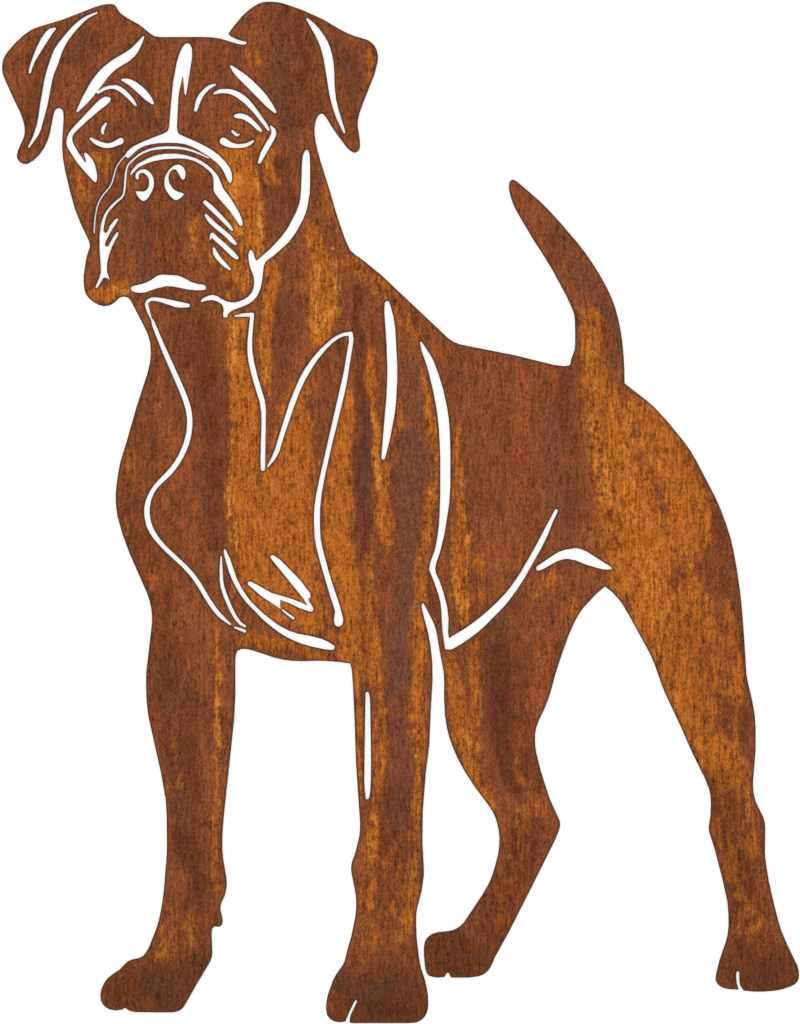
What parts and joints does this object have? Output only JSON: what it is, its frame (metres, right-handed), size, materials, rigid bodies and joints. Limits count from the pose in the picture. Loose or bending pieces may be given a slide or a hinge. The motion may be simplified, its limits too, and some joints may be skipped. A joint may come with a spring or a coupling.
{
  "type": "garden silhouette",
  "caption": "Flat boxer dog silhouette cut from one sheet of rusted weathering steel, with cut-out lines for its face, chest, shoulders and belly.",
  "frame": {"origin": "middle of the outline's box, on the sheet's underside", "axes": "the sheet lies in XY: +Y towards the top of the dog's head, -Y towards its feet, +X towards its tail, +Z out of the face that the picture shows"},
  "size_m": [0.585, 0.75, 0.002],
  "materials": {
    "rusted_steel": "rusted, dry and matt, streaked orange, ochre and dark purple-brown"
  },
  "bodies": {
    "root": {"dog_silhouette": "rusted_steel"}
  },
  "joints": []
}
